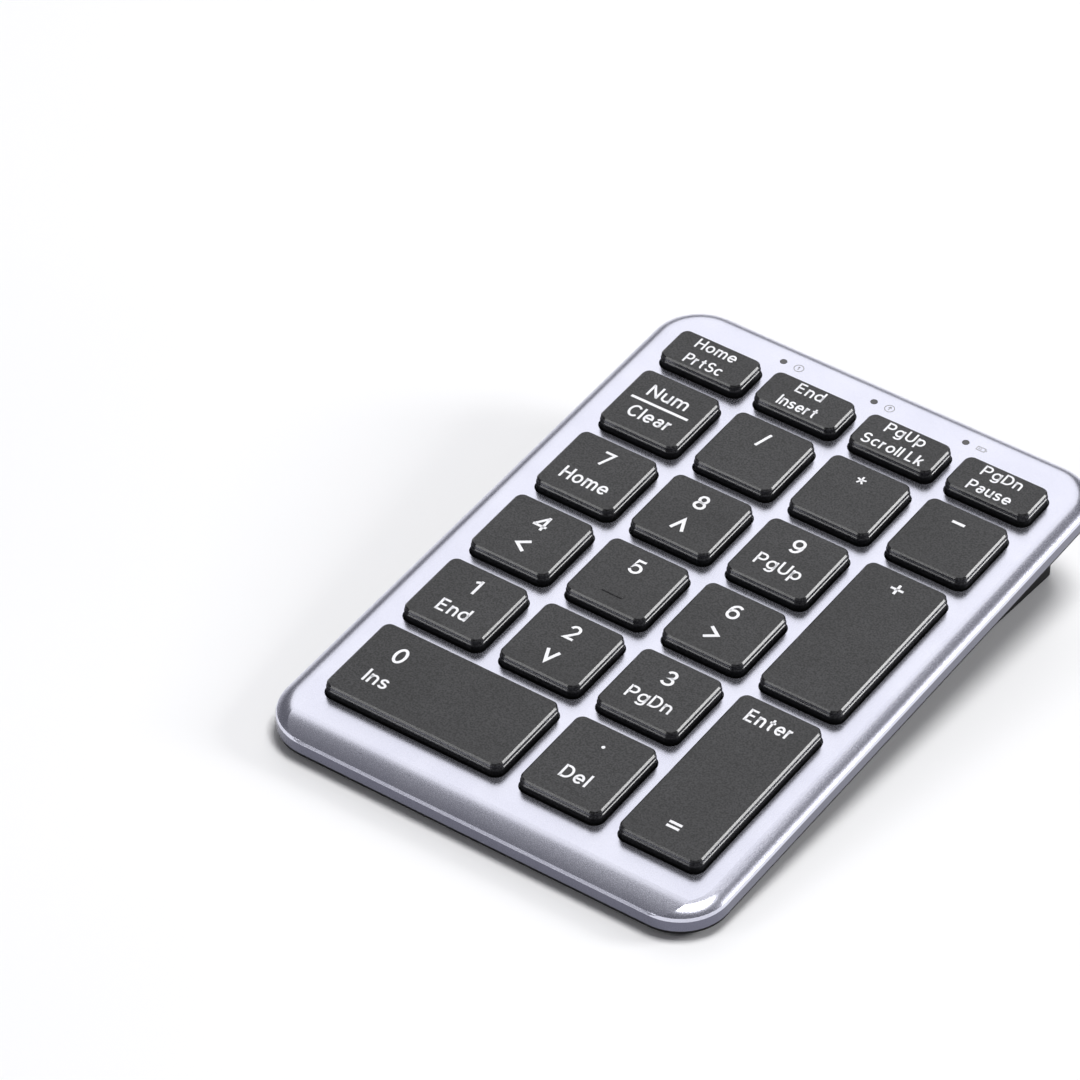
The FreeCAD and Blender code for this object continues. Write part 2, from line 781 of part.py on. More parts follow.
def make_top_case():
    """Formed shell: flat deck, rolled-off edge, bright chamfer, upright wall, windows and posts."""
    body = doc.addObject("PartDesign::Body", "top_case")
    middle = ("0", "case_middle")
    # The roll-off is an arc tangent to the deck that stops at the wall before it turns upright.
    side_radius = "(roll_side * roll_side + roll_drop * roll_drop) / (2 * roll_drop)"
    overhang = f"({side_radius} - roll_side)"
    waste = ("case_width + 2 * trim_margin", "case_depth + 2 * trim_margin")
    outline = sketch_on(body, "case_oversize", "XY_Plane", "0 - wall_bottom - 2")
    rounded_rectangle(
        outline,
        f"case_width + 2 * {overhang}",
        f"case_depth + 2 * {overhang}",
        f"case_corner + {overhang}",
        middle,
    )
    slab = pad(body, outline, "wall_bottom + 2")
    slab = dress(body, "Fillet", slab, edges_where(slab.Shape, lies_at(0.0)), side_radius)
    trim = sketch_on(body, "case_trim", "XY_Plane", "0 - wall_bottom - 2")
    rounded_rectangle(trim, "case_width", "case_depth", "case_corner", middle)
    rectangle(trim, *waste, middle)
    pocket(body, trim, "wall_bottom + 4", reverse=True)
    underside = sketch_on(body, "case_underside", "XY_Plane", "0 - wall_bottom")
    rectangle(underside, *waste, middle)
    pocket(body, underside, "4")
    slope = sketch_on(body, "case_front_slope", "YZ_Plane")
    draw_front_waste(slope)
    last = pocket(body, slope, "case_width + 4", middle=True)
    edge_line = edges_where(last.Shape, lambda edge: rim_edge(edge, -SIZES["roll_drop"]))
    last = dress(body, "Chamfer", last, edge_line, "bright_edge")
    inside = sketch_on(body, "case_inside", "XY_Plane", "0 - wall_bottom")
    rounded_rectangle(
        inside, "case_width - 2 * case_wall", "case_depth - 2 * case_wall", "case_corner - case_wall", middle
    )
    last = pocket(body, inside, "wall_bottom - deck_thick", reverse=True)
    ceiling = edges_where(last.Shape, lies_at(-SIZES["deck_thick"]))
    dress(body, "Fillet", last, ceiling, "ceiling_fillet")
    cut_windows(body)
    add_posts(body)
    lamps = sketch_on(body, "case_lamp_holes", "XY_Plane")
    circles(lamps, "lamp_radius + lamp_gap", lamp_spots())
    pocket(body, lamps, "2 * deck_thick")
    switch = sketch_on(body, "case_switch_slot", "XZ_Plane", "0 - case_middle - case_depth / 2 - 1")
    slot_middle = ("switch_at", "0 - wall_bottom + slot_up + slot_height / 2")
    rectangle(switch, "slot_length", "slot_height", slot_middle)
    pocket(body, switch, "case_wall + 2", reverse=True)
    return finish(body, "top_case")


def rim_edge(edge, height):
    """A level edge at the foot of the roll-off, on the outside of the wall."""
    return abs(edge.BoundBox.ZMin - height) < 0.02 and edge.BoundBox.ZLength < 0.02


def draw_front_waste(sketch):
    """The waste above the gentler front roll-off: an arc tangent to the deck, closed by straight lines."""
    reach = SIZES["roll_front"]
    drop = SIZES["roll_drop"]
    edge = "case_middle - case_depth / 2"
    beyond = shifted(edge, "-trim_margin")
    inner = shifted(edge, "roll_front")
    radius = "(roll_front * roll_front + roll_drop * roll_drop) / (2 * roll_drop)"
    tangent = FreeCAD.Vector(number(inner), 0, 0)
    foot = FreeCAD.Vector(number(edge), -drop, 0)
    centre = tangent - FreeCAD.Vector(0, number(radius), 0)
    lean = math.atan2(reach, number(radius) - drop)
    circle = Part.Circle(centre, FreeCAD.Vector(0, 0, 1), number(radius))
    outer_foot = FreeCAD.Vector(number(beyond), -drop, 0)
    outer_top = FreeCAD.Vector(number(beyond), number("deck_thick"), 0)
    inner_top = FreeCAD.Vector(number(inner), number("deck_thick"), 0)
    spots = [foot, outer_foot, outer_top, inner_top, tangent]
    lines = [Part.LineSegment(begin, end) for begin, end in zip(spots, spots[1:])]
    sketch.addGeometry([Part.ArcOfCircle(circle, math.pi / 2, math.pi / 2 + lean), *lines], False)
    joins = [("Coincident", first, 2, (first + 1) % 5, 1) for first in range(5)]
    driven = held_at(0, 3, inner, f"0 - ({radius})") + [("Radius", 0, radius)]
    driven += [("DistanceX", -1, 1, 0, 1, inner), ("DistanceX", -1, 1, 0, 2, edge)]
    driven += held_at(1, 2, beyond, "-roll_drop") + held_at(2, 2, beyond, "deck_thick")
    driven += held_at(3, 2, inner, "deck_thick")
    constrain(sketch, joins, driven)


def cut_windows(body):
    """A rounded window for every key."""
    for first in range(0, len(KEYS), 4):
        windows = sketch_on(body, f"case_windows_{first}", "XY_Plane")
        for _, x, y, kind in KEYS[first : first + 4]:
            width, depth = KINDS[kind]
            rectangle(windows, f"{width} + 2 * window_gap", f"{depth} + 2 * window_gap", (x, y))
        last = pocket(body, windows, "2 * deck_thick")
    reach = SIZES["case_width"] / 2 - SIZES["case_corner"] / 2
    corners = edges_where(
        last.Shape,
        lambda edge: abs(edge.Length - SIZES["deck_thick"]) < 0.001
        and abs(edge.BoundBox.ZLength - SIZES["deck_thick"]) < 0.001
        and abs(edge.BoundBox.XMin) < reach,
    )
    dress(body, "Fillet", last, corners, "window_corner")


def add_posts(body):
    """Screw posts under the deck, for the key plate and for the bottom cover."""
    plate = sketch_on(body, "case_plate_posts", "XY_Plane", "0 - deck_thick")
    circles(plate, "plate_post", PLATE_POSTS)
    pad(body, plate, "plate_top - deck_thick", reverse=True)
    cover = sketch_on(body, "case_cover_posts", "XY_Plane", "0 - deck_thick")
    circles(cover, "case_post", CASE_POSTS)
    pad(body, cover, "cover_top - deck_thick", reverse=True)
    plate_holes = sketch_on(body, "case_plate_holes", "XY_Plane", "0 - plate_top - 1")
    circles(plate_holes, "post_hole", PLATE_POSTS)
    pocket(body, plate_holes, "1 + plate_top - deck_thick + 0.2", reverse=True)
    cover_holes = sketch_on(body, "case_cover_holes", "XY_Plane", "0 - cover_top - 1")
    circles(cover_holes, "post_hole", CASE_POSTS)
    pocket(body, cover_holes, "1 + cover_top - deck_thick - 0.1", reverse=True)


def lamp_spots():
    return [(f"({step}) * lamp_pitch + lamp_shift", "lamp_row") for step in (-1, 0, 1)]


def make_light_pipes():
    """Three clear pins that bring the indicator light up to the deck."""
    pipes = []
    for index, spot in enumerate(lamp_spots()):
        stem = peg(f"pipe_stem_{index}", "lamp_radius", "stem_length", spot, "0 - stem_top - stem_length")
        collar_low = "0 - deck_thick - collar_thick"
        collar = peg(f"pipe_collar_{index}", "lamp_radius + collar_reach", "collar_thick", spot, collar_low)
        pipes.append(fuse(f"pipe_{index}", [stem, collar]))
    finish(group("light_pipes", pipes), "light_pipes")


# Parts on the board: (name, width, depth, height, place across, place along).
BOARD_PARTS = [
    ("controller", "5", "4.6", "0.9", "8", "board_middle"),
    ("radio", "7", "4.2", "0.7", "-6.5", "board_middle"),
    ("crystal", "2.5", "2", "0.6", "13", "board_middle"),
]
BOARD_PARTS += [(f"lamp_{index}", "1.6", "0.8", "0.6", *spot) for index, spot in enumerate(lamp_spots())]
BOARD_PARTS += [
    (f"chip_{index}", "0.8", "1.4", "0.4", f"25.5 + {index} * 1.4", "board_middle - 1.6")
    for index in range(5)
]


def make_circuit_board():
    """Controller board with indicator chips, a controller, and a clamp for the sheet's tail."""
    low = "0 - board_top - board_thick"
    pieces = [block("board_base", ("board_width", "board_depth", "board_thick"), ("0", "board_middle"), low)]
    for name, width, depth, height, across, along in BOARD_PARTS:
        pieces.append(block(f"board_{name}", (width, depth, height), (across, along), "0 - board_top"))
    spot = ("tail_at", "board_middle + clamp_shift")
    clamp = block("board_clamp", ("tail_width + 2", "clamp_depth", "clamp_height"), spot, "0 - board_top")
    room = ("tail_width + 0.4", "clamp_depth + 0.4", "throat_height")
    throat = block("board_throat", room, spot, "0 - board_top")
    pieces.append(cut("board_clamp_open", clamp, throat))
    finish(fuse("circuit_board", pieces), "circuit_board")


def make_power_switch():
    """A slider that rides behind the back wall, with its knob in the wall's slot."""
    back = "case_middle + case_depth / 2"
    low = "0 - wall_bottom + slot_up + knob_gap / 2"
    height = "slot_height - knob_gap"
    across = "switch_at + knob_shift"
    knob_spot = (across, f"{back} - case_wall / 2 - knob_inset")
    knob = block("switch_knob", ("knob_length", "case_wall + knob_reach", height), knob_spot, low)
    carrier_spot = (across, f"{back} - case_wall - carrier_inset")
    carrier_size = ("knob_length + carrier_reach", "carrier_thick", height)
    carrier = block("switch_carrier", carrier_size, carrier_spot, low)
    pieces = [knob, carrier]
    for step in (-1, 0, 1):
        spot = (f"{across} + ({step}) * ridge_pitch", f"{back} - ridge_size / 2")
        size = ("ridge_size", "ridge_size", f"{height} - 2 * ridge_end")
        pieces.append(block(f"switch_ridge_{step}", size, spot, f"{low} + ridge_end"))
    finish(fuse("power_switch", pieces), "power_switch")


def make_bottom_cover():
    """Dark lower shell with a locating rim, screw seats and a battery box that lifts the back."""
    body = doc.addObject("PartDesign::Body", "bottom_cover")
    middle = ("0", "case_middle")
    outline = sketch_on(body, "cover_outline", "XY_Plane", "0 - floor_bottom")
    width = "case_width - 2 * cover_inset"
    depth = "case_depth - 2 * cover_inset"
    rounded_rectangle(outline, width, depth, "case_corner - cover_inset", middle)
    tray = pad(body, outline, "floor_bottom - cover_top")
    dress(body, "Chamfer", tray, edges_where(tray.Shape, lies_at(-SIZES["floor_bottom"])), "cover_bevel")
    add_battery_box(body)
    outer = "(case_wall + rim_gap)"
    inset = "(case_wall + rim_gap + rim_thick)"
    hollow = sketch_on(body, "cover_hollow", "XY_Plane", "0 - floor_top")
    rounded_rectangle(
        hollow, f"case_width - 2 * {inset}", f"case_depth - 2 * {inset}", f"case_corner - {inset}", middle
    )
    pocket(body, hollow, "floor_top - cover_top + 1", reverse=True)
    rim = sketch_on(body, "cover_rim", "XY_Plane", "0 - floor_top")
    for step in (outer, inset):
        rounded_rectangle(
            rim, f"case_width - 2 * {step}", f"case_depth - 2 * {step}", f"case_corner - {step}", middle
        )
    pad(body, rim, "floor_top - rim_top")
    notch_at = "0 - case_middle - case_depth / 2 + case_wall - notch_gap"
    notch = sketch_on(body, "cover_switch_notch", "XZ_Plane", notch_at)
    rectangle(notch, "slot_length + 4", "notch_height", ("switch_at", "0 - cover_top + notch_up"))
    pocket(body, notch, "notch_height", reverse=True)
    seats = sketch_on(body, "cover_seats", "XY_Plane", "0 - floor_top")
    circles(seats, "head_recess + seat_rim", CASE_POSTS)
    pad(body, seats, "floor_top - cover_top")
    heads = sketch_on(body, "cover_head_recesses", "XY_Plane", "0 - floor_bottom")
    circles(heads, "head_recess", CASE_POSTS)
    pocket(body, heads, "floor_bottom - cover_top - seat_thick", reverse=True)
    shanks = sketch_on(body, "cover_screw_holes", "XY_Plane", "0 - floor_bottom")
    circles(shanks, "screw_radius + 0.15", CASE_POSTS)
    pocket(body, shanks, "floor_bottom - cover_top + 0.5", reverse=True)
    return finish(body, "bottom_cover")


def add_battery_box(body):
    """Wedge-shaped box, its bay for the cells, and the recess and grooves for the door."""
    foot = "foot_thick"
    wedge = sketch_on(body, "box_wedge", "YZ_Plane")
    polygon(
        wedge,
        [
            ("box_front", "0 - floor_bottom + 0.4"),
            ("box_front", table_height("box_front", foot)),
            ("box_back", table_height("box_back", foot)),
            ("box_back", "0 - floor_bottom + 0.4"),
        ],
    )
    last = pad(body, wedge, "2 * box_half", middle=True)
    half = SIZES["box_half"]
    corners = edges_where(
        last.Shape,
        lambda edge: edge.BoundBox.XLength < 0.001
        and abs(abs(edge.BoundBox.XMin) - half) < 0.001
        and edge.BoundBox.ZLength > 5,
    )
    dress(body, "Fillet", last, corners, "box_round")
    bay = sketch_on(body, "box_bay", "XY_Plane", "0 - bay_top")
    rectangle(bay, "2 * bay_half", "bay_back - bay_front", ("0", "(bay_front + bay_back) / 2"))
    pocket(body, bay, "30")
    above_door = "foot_thick + door_thick + door_gap"
    recess = sketch_on(body, "box_recess", "YZ_Plane")
    door_region(recess, "bay_front - 0.4", "box_back + 1", "0", above_door)
    pocket(body, recess, "2 * (door_half + door_gap)", middle=True)
    groove = sketch_on(body, "box_grooves", "YZ_Plane")
    low = "foot_thick + door_thick - tongue_thick - door_gap"
    door_region(groove, "bay_front - 0.4", "box_back + 1", low, above_door)
    pocket(body, groove, "2 * (door_half + tongue_reach + door_gap)", middle=True)


def door_region(sketch, front, back, low, high):
    """A band parallel to the table, between two heights above it."""
    polygon(
        sketch,
        [
            (front, table_height(front, low)),
            (back, table_height(back, low)),
            (back, table_height(back, high)),
            (front, table_height(front, high)),
        ],
    )


def make_battery_door():
    """Flat door with side tongues and four grip grooves; it slides out to the back."""
    body = doc.addObject("PartDesign::Body", "battery_door")
    front = "bay_front - 0.4 + door_gap"
    leaf = sketch_on(body, "door_leaf", "YZ_Plane")
    door_region(leaf, front, "box_back", "foot_thick", "foot_thick + door_thick")
    pad(body, leaf, "2 * door_half", middle=True)
    tongues = sketch_on(body, "door_tongues", "YZ_Plane")
    high = "foot_thick + door_thick"
    door_region(tongues, front, "box_back - 1", f"{high} - tongue_thick", high)
    pad(body, tongues, "2 * (door_half + tongue_reach)", middle=True)
    grip = sketch_on(body, "door_grip", "YZ_Plane")
    for step in range(4):
        start = f"box_back - grip_start + {step} * grip_pitch"
        door_region(grip, start, f"{start} + grip_groove", "0", "foot_thick + grip_deep")
    pocket(body, grip, "grip_width", middle=True)
    return finish(body, "battery_door")


def make_battery_cells():
    """Two slim cells side by side, facing opposite ways."""
    cells = []
    height = "0 - cell_top - cell_radius"
    for name, along, way in (("front", "cell_front", 1), ("back", "cell_back", -1)):
        spot = (f"({way}) * (0 - 0.5)", along, height)
        can = rod_along_x(f"cell_can_{name}", "cell_radius", "cell_length - 1", spot)
        middle = (f"({way}) * (cell_length - button_length) / 2", along, height)
        button = rod_along_x(f"cell_button_{name}", "button_radius", "button_length", middle)
        cells.append(fuse(f"cell_{name}", [can, button]))
    finish(group("battery_cells", cells), "battery_cells")


def make_battery_contacts():
    """A flat plate at each button and a coiled spring on a plate at each flat end."""
    pieces = []
    height = "0 - cell_top - cell_radius"
    size = ("contact_thick", "contact_side", "contact_side")
    low = f"{height} - contact_side / 2"
    face = "(bay_half - contact_face)"
    cell_end = "(cell_length / 2 + cell_gap)"
    for name, along, way in (("front", "cell_front", 1), ("back", "cell_back", -1)):
        for side in (1, -1):
            spot = (f"({side}) * (bay_half - contact_wall)", along)
            pieces.append(block(f"contact_{name}_{side}", size, spot, low))
        pieces.append(make_contact_spring(name, along, height, -way))
        middle = (f"({way}) * ({face} + {cell_end}) / 2", along, height)
        pieces.append(rod_along_x(f"contact_boss_{name}", "boss_radius", f"{face} - {cell_end}", middle))
    finish(group("battery_contacts", pieces), "battery_contacts")


def make_contact_spring(name, along, height, side):
    """A conical coil between the end plate and the cell's flat end."""
    start = number("bay_half - contact_face - coil_gap")
    free = number("bay_half - contact_face - coil_gap - cell_length / 2 - cell_gap")
    coil = doc.addObject("Part::Feature", f"contact_spring_{name}")
    helix = Part.makeHelix(free / 3, free - SIZES["coil_gap"], SIZES["coil_radius"], 15)
    wire_start = helix.Vertexes[0].Point
    ring = Part.Wire([Part.makeCircle(SIZES["coil_wire"], wire_start, FreeCAD.Vector(0, 1, 0))])
    coil.Shape = Part.Wire(helix).makePipeShell([ring], True, True)
    turn = FreeCAD.Rotation(FreeCAD.Vector(0, 1, 0), -90 * side)
    coil.Placement = FreeCAD.Placement(FreeCAD.Vector(side * start, number(along), number(height)), turn)
    return coil


def make_screws():
    """Identical pan-head screws: eight hold the bottom cover and eight the key plate."""
    screws = []
    seats = [(spot, "0 - cover_top - seat_thick") for spot in CASE_POSTS]
    seats += [(spot, "0 - plate_top - plate_thick") for spot in PLATE_POSTS]
    for index, (spot, seat) in enumerate(seats):
        head = peg(f"screw_head_{index}", "head_radius", "head_thick", spot, f"{seat} - head_thick")
        shank = peg(f"screw_shank_{index}", "screw_radius", "screw_length", spot, seat)
        whole = fuse(f"screw_whole_{index}", [head, shank])
        low = f"{seat} - head_thick"
        bars = [
            block(f"screw_bar_{index}_0", ("cross_length", "cross_width", "cross_deep"), spot, low),
            block(f"screw_bar_{index}_1", ("cross_width", "cross_length", "cross_deep"), spot, low),
        ]
        screws.append(cut(f"screw_{index}", whole, fuse(f"screw_cross_{index}", bars)))
    finish(group("screws", screws), "screws")


def make_feet():
    """Two front pads under the floor and two back pads under the battery box, all level below."""
    pads = []
    front = ("foot_front", "foot_back", "foot_width", "0 - floor_bottom")
    rear = ("box_front + rear_foot_margin", "box_back - rear_foot_margin", "rear_foot_width", None)
    spots = [
        ("front_left", "-foot_across", *front),
        ("front_right", "foot_across", *front),
        ("back_left", "-rear_foot_across", *rear),
        ("back_right", "rear_foot_across", *rear),
    ]
    for name, across, near, far, width, top in spots:
        body = doc.addObject("PartDesign::Body", "foot_" + name)
        profile = sketch_on(body, f"foot_{name}_profile", "YZ_Plane", across)
        corners = [
            (near, table_height(near, "0")),
            (far, table_height(far, "0")),
            (far, top or table_height(far, "foot_thick")),
            (near, top or table_height(near, "foot_thick")),
        ]
        polygon(profile, corners)
        pad(body, profile, width, middle=True)
        pads.append(body)
    finish(group("rubber_feet", pads), "rubber_feet")


def build():
    """Make every sub-part."""
    make_top_case()
    for name, x, y, kind in KEYS:
        make_keycap(name, x, y, kind)
        make_scissor(name, x, y, kind)
        if kind in LONG_KEYS:
            make_stabilizer(name, x, y, LONG_KEYS[kind])
    make_domes()
    make_contact_sheets()
    make_key_plate()
    make_light_pipes()
    make_circuit_board()
    make_power_switch()
    make_bottom_cover()
    make_battery_door()
    make_battery_cells()
    make_battery_contacts()
    make_screws()
    make_feet()


def check():
    """Stop on any failed object or bad shape."""
    doc.recompute()
    for item in doc.Objects:
        if "Invalid" in item.State or "Error" in item.State:
            raise RuntimeError(f"{item.Name} failed: {item.State}")
    for item in NODES:
        if item.Shape.isNull() or not item.Shape.isValid() or not item.Shape.Solids:
            raise RuntimeError(f"{item.Label} has a bad shape")


def export():
    """Write one file per sub-part."""
    os.makedirs("parts", exist_ok=True)
    for item in NODES:
        item.Shape.exportStep(f"parts/{item.Label}.step")
        print(item.Label, len(item.Shape.Solids), round(item.Shape.Volume, 1))


build()
check()
export()
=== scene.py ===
import json
import math

import bmesh
import bpy
from mathutils import Matrix, Vector


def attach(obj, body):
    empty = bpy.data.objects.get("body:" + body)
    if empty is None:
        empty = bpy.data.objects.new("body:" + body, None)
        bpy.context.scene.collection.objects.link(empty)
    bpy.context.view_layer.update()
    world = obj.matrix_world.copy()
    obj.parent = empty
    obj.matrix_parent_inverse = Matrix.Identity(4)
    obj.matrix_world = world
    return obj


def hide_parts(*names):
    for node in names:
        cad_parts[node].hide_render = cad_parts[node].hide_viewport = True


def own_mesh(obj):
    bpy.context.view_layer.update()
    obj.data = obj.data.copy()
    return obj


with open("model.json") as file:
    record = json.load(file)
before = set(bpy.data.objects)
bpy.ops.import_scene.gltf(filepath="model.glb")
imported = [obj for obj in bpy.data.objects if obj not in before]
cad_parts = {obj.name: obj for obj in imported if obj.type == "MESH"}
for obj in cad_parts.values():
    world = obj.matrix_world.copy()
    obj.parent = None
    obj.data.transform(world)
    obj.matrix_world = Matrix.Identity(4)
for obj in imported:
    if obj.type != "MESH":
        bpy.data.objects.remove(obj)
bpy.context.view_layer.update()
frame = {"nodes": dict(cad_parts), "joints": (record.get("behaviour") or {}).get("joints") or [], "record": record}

MM = 0.001

# The deck's own axes: the keys travel square to it.
JOINTS = {joint["name"]: joint for joint in frame["joints"]}
UP = -Vector(JOINTS["press_five"]["axis"]).normalized()
RIGHT = Vector((1, 0, 0))
BACK = UP.cross(RIGHT)
DECK = Matrix((RIGHT, BACK, UP))
KEYS = [name[len("keycap_"):] for name in frame["nodes"] if name.startswith("keycap_")]


def deck_span(points):
    """Lowest and highest of these points along each of the deck's axes."""
    turned = [DECK @ point for point in points]
    low = Vector([min(p[axis] for p in turned) for axis in range(3)])
    high = Vector([max(p[axis] for p in turned) for axis in range(3)])
    return low, high


def node_points(node):
    return [vertex.co for vertex in frame["nodes"][node].data.vertices]


# The "8" cap has no homing bar, so its highest points lie in the plane of all the key tops.
KEY_PLANE = deck_span(node_points("keycap_eight"))[1].z


def key_top(key):
    """The middle of a keycap's top face, in the deck's axes."""
    low, high = deck_span(node_points("keycap_" + key))
    return Vector(((low.x + high.x) / 2, (low.y + high.y) / 2, KEY_PLANE))


# Material making


def noise(tree, scale, detail=3.0, roughness=0.5, stretch=(1, 1, 1)):
    """A noise value laid out in the row frame; scale is in cycles per metre."""
    place = tree.nodes.new("ShaderNodeTexCoord")
    mapping = tree.nodes.new("ShaderNodeMapping")
    mapping.inputs["Scale"].default_value = stretch
    texture = tree.nodes.new("ShaderNodeTexNoise")
    texture.inputs["Scale"].default_value = scale
    texture.inputs["Detail"].default_value = detail
    texture.inputs["Roughness"].default_value = roughness
    tree.links.new(place.outputs["Object"], mapping.inputs["Vector"])
    tree.links.new(mapping.outputs["Vector"], texture.inputs["Vector"])
    return texture.outputs["Fac"]


def grey(level):
    """A neutral colour with a trace of blue."""
    return (level, level, level * 1.03)


def ramp(tree, value, low, high, start=0.35, end=0.65):
    """Colour running from low to high as value goes from start to end."""
    node = tree.nodes.new("ShaderNodeValToRGB")
    node.color_ramp.elements[0].position = start
    node.color_ramp.elements[0].color = (*low, 1)
    node.color_ramp.elements[1].position = end
    node.color_ramp.elements[1].color = (*high, 1)
    tree.links.new(value, node.inputs["Fac"])
    return node.outputs["Color"]


def spread(tree, value, low, high):
    """A number running from low to high over the middle of a noise value."""
    node = tree.nodes.new("ShaderNodeMapRange")
    node.inputs["From Min"].default_value = 0.3
    node.inputs["From Max"].default_value = 0.7
    node.inputs["To Min"].default_value = low
    node.inputs["To Max"].default_value = high
    tree.links.new(value, node.inputs["Value"])
    return node.outputs["Result"]


def bump(tree, shader, layers):
    """Layers of (height value, depth in metres, strength) as one chain of bumps."""
    normal = None
    for height, depth, strength in layers:
        node = tree.nodes.new("ShaderNodeBump")
        node.inputs["Strength"].default_value = strength
        node.inputs["Distance"].default_value = depth
        tree.links.new(height, node.inputs["Height"])
        if normal:
            tree.links.new(normal, node.inputs["Normal"])
        normal = node.outputs["Normal"]
    tree.links.new(normal, shader.inputs["Normal"])


def finish(
    name, low, high, roughness, grain, depth, strength=0.4, metallic=0.0, blotch=90, specular=0.5,
    stretch=(1, 1, 1), coat=0.0, alpha=1.0,
):
    """A surface with slow colour and gloss changes and a fine grain; grain is its size in millimetres."""
    material = bpy.data.materials.new(name)
    material.use_nodes = True
    tree = material.node_tree
    shader = tree.nodes["Principled BSDF"]
    fine = noise(tree, 1 / (grain * MM), 2.0, 0.6, stretch)
    slow = noise(tree, blotch, 4.0, 0.55)
    tree.links.new(ramp(tree, slow, low, high), shader.inputs["Base Color"])
    tree.links.new(spread(tree, fine, *roughness), shader.inputs["Roughness"])
    bump(tree, shader, [(fine, depth * MM, strength)])
    shader.inputs["Metallic"].default_value = metallic
    shader.inputs["Specular IOR Level"].default_value = specular
    shader.inputs["Coat Weight"].default_value = coat
    shader.inputs["Alpha"].default_value = alpha
    return material


# Depths under the key tops, in millimetres. The upright wall starts below the housing's bright cut edge.
WALL_START = 4.05
WALL_END = 4.10
# Painted shade: the upright wall's base colour is multiplied by this grey below the cut edge.
WALL_SHADE_TINT = (0.23, 0.23, 0.26)
# A keycap's cut edge starts in the first band and its skirt in the second; painted shade darkens the skirt over
# the third.
EDGE_BAND = (0.01, 0.05)
SKIRT_BAND = (1.1, 1.3)
SKIRT_SHADE_FADE = (1.0, 1.4)
# The edge's roughness is this share of the top's, and the skirt is this much rougher than the edge.
EDGE_ROUGHNESS = 0.5
SKIRT_ROUGHER = 0.35
TOP_SHINE = 0.5
SKIRT_SHINE = 0.1
# Painted shade: the skirt's base colour is multiplied by this grey, standing in for the shade in the gap around
# the key.
SKIRT_SHADE_TINT = (0.15, 0.15, 0.15)
# The grains on a keycap: their size in millimetres, and the darkest and lightest share of the colour.
SPECKLE = 0.3
DARK_GRAIN = 0.35
LIGHT_GRAIN = 1.75


def depth_share(tree, start, end, low=0.0, high=1.0):
    """Runs from low to high between two depths under the key tops, in millimetres."""
    place = tree.nodes.new("ShaderNodeTexCoord")
    height = tree.nodes.new("ShaderNodeVectorMath")
    height.operation = "DOT_PRODUCT"
    height.inputs[1].default_value = UP
    tree.links.new(place.outputs["Object"], height.inputs[0])
    share = tree.nodes.new("ShaderNodeMapRange")
    share.inputs["From Min"].default_value = KEY_PLANE - start * MM
    share.inputs["From Max"].default_value = KEY_PLANE - end * MM
    share.inputs["To Min"].default_value = low
    share.inputs["To Max"].default_value = high
    tree.links.new(height.outputs["Value"], share.inputs["Value"])
    return share.outputs["Result"]


def add_multiply(material):
    """Puts a multiply node in front of the base colour; inputs 0 and 7 are its share and second colour."""
    tree = material.node_tree
    base = tree.nodes["Principled BSDF"].inputs["Base Color"]
    mix = tree.nodes.new("ShaderNodeMix")
    mix.data_type = "RGBA"
    mix.blend_type = "MULTIPLY"
    tree.links.new(base.links[0].from_socket, mix.inputs[6])
    tree.links.new(mix.outputs[2], base)
    return mix


def shade_below(material, start, end, tint):
    """Paints shade: multiplies the base colour by a darker tint below a depth under the key tops."""
    mix = add_multiply(material)
    mix.inputs[7].default_value = (*tint, 1)
    material.node_tree.links.new(depth_share(material.node_tree, start, end), mix.inputs[0])


def paint_wall_shade(material):
    """Paints shade on the housing's upright wall: its base colour is darkened below the bright cut edge, standing
    in for the shade and dark reflections that fall on it.
    """
    shade_below(material, WALL_START, WALL_END, WALL_SHADE_TINT)
    return material


def polish_edges(material):
    """A keycap's cut edge is smoother than its grained top, and its skirt is rougher, with painted shade darkening
    its base colour.
    """
    tree = material.node_tree
    shader = tree.nodes["Principled BSDF"]
    grained = shader.inputs["Roughness"].links[0].from_socket
    edge = tree.nodes.new("ShaderNodeMath")
    edge.operation = "MULTIPLY"
    tree.links.new(grained, edge.inputs[0])
    tree.links.new(depth_share(tree, *EDGE_BAND, 1.0, EDGE_ROUGHNESS), edge.inputs[1])
    skirt = tree.nodes.new("ShaderNodeMath")
    skirt.operation = "ADD"
    tree.links.new(edge.outputs["Value"], skirt.inputs[0])
    tree.links.new(depth_share(tree, *SKIRT_BAND, 0.0, SKIRT_ROUGHER), skirt.inputs[1])
    tree.links.new(skirt.outputs["Value"], shader.inputs["Roughness"])
    shine = depth_share(tree, *SKIRT_BAND, TOP_SHINE, SKIRT_SHINE)
    tree.links.new(shine, shader.inputs["Specular IOR Level"])
    speckle(material)
    # Painted shade on the skirt, where the key stands in its dark gap.
    shade_below(material, *SKIRT_SHADE_FADE, SKIRT_SHADE_TINT)
    return material


def speckle(material):
    """Breaks the base colour up into the fine light and dark grains of textured plastic."""
    tree = material.node_tree
    grains = ramp(tree, noise(tree, 1 / (SPECKLE * MM), 1.0, 0.5), grey(DARK_GRAIN), grey(LIGHT_GRAIN))
    mix = add_multiply(material)
    mix.inputs[0].default_value = 1.0
    tree.links.new(grains, mix.inputs[7])


